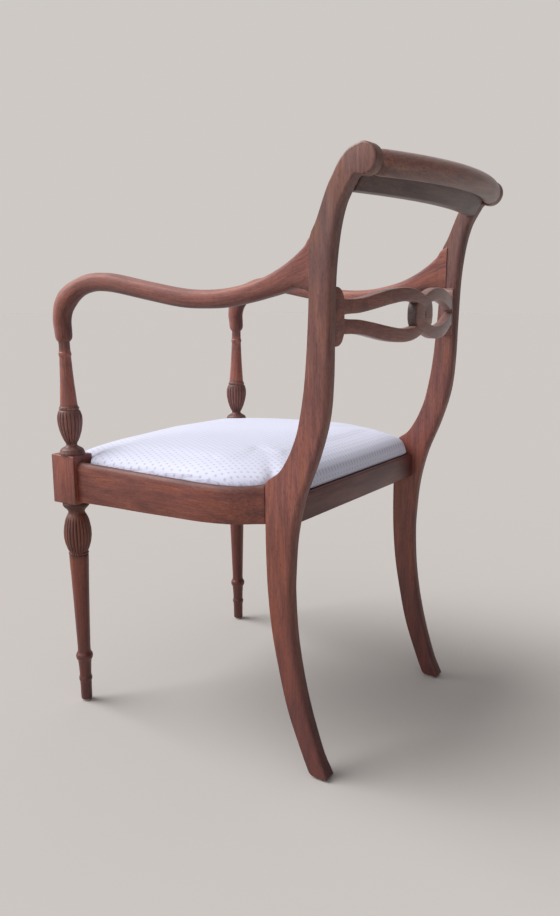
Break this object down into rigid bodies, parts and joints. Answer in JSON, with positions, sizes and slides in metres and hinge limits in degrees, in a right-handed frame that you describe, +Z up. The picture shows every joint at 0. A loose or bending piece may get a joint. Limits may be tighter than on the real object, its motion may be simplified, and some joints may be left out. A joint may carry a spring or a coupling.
{
  "type": "dining armchair",
  "caption": "Armchair with swept back posts, scrolled crest rail, openwork interlaced cross splat, swept arms on turned supports and a drop-in upholstered seat.",
  "frame": {"origin": "on the floor, under the middle of the chair's bounding box", "axes": "+Z up, -Y is the way that the sitter faces, +X is the sitter's left"},
  "size_m": [0.5002, 0.6328, 0.889],
  "materials": {
    "mahogany": "satin french polish",
    "beech": "raw",
    "screw_steel": "dull",
    "glide_nylon": "matte",
    "seat_fabric": "small figured weave",
    "webbing": "jute",
    "seat_felt": "felt",
    "dust_cloth": "plain weave"
  },
  "bodies": {
    "chair_frame": {"back_post_left": "mahogany", "back_post_right": "mahogany", "front_leg_left": "mahogany", "front_leg_right": "mahogany", "crest_rail": "mahogany", "cross_splat": "mahogany", "arm_left": "mahogany", "arm_right": "mahogany", "arm_support_left": "mahogany", "arm_support_right": "mahogany", "side_rail_left": "mahogany", "side_rail_right": "mahogany", "front_rail": "mahogany", "back_rail": "mahogany", "crest_dowel_upper_left": "beech", "crest_dowel_upper_right": "beech", "crest_dowel_lower_left": "beech", "crest_dowel_lower_right": "beech", "arm_dowel_left": "beech", "arm_dowel_right": "beech", "corner_brace_front_left": "beech", "corner_brace_front_right": "beech", "corner_brace_rear_left": "beech", "corner_brace_rear_right": "beech", "brace_screw_front_1_left": "screw_steel", "brace_screw_front_1_right": "screw_steel", "brace_screw_front_2_left": "screw_steel", "brace_screw_front_2_right": "screw_steel", "brace_screw_rear_1_left": "screw_steel", "brace_screw_rear_1_right": "screw_steel", "brace_screw_rear_2_left": "screw_steel", "brace_screw_rear_2_right": "screw_steel", "glide_front_left": "glide_nylon", "glide_front_right": "glide_nylon", "glide_rear_left": "glide_nylon", "glide_rear_right": "glide_nylon"},
    "drop_in_seat": {"seat_frame_front": "beech", "seat_frame_rear": "beech", "seat_frame_left": "beech", "seat_frame_right": "beech", "webbing_across_1": "webbing", "webbing_across_2": "webbing", "webbing_along_1": "webbing", "webbing_along_2": "webbing", "webbing_along_3": "webbing", "base_cloth": "webbing", "seat_padding": "seat_felt", "seat_cover": "seat_fabric", "dust_cover": "dust_cloth"}
  },
  "joints": [
    {"name": "seat_lift_out", "type": "slide", "parent": "chair_frame", "child": "drop_in_seat", "axis": [0, 0, 1], "range_m": [0, 0.08]}
  ]
}
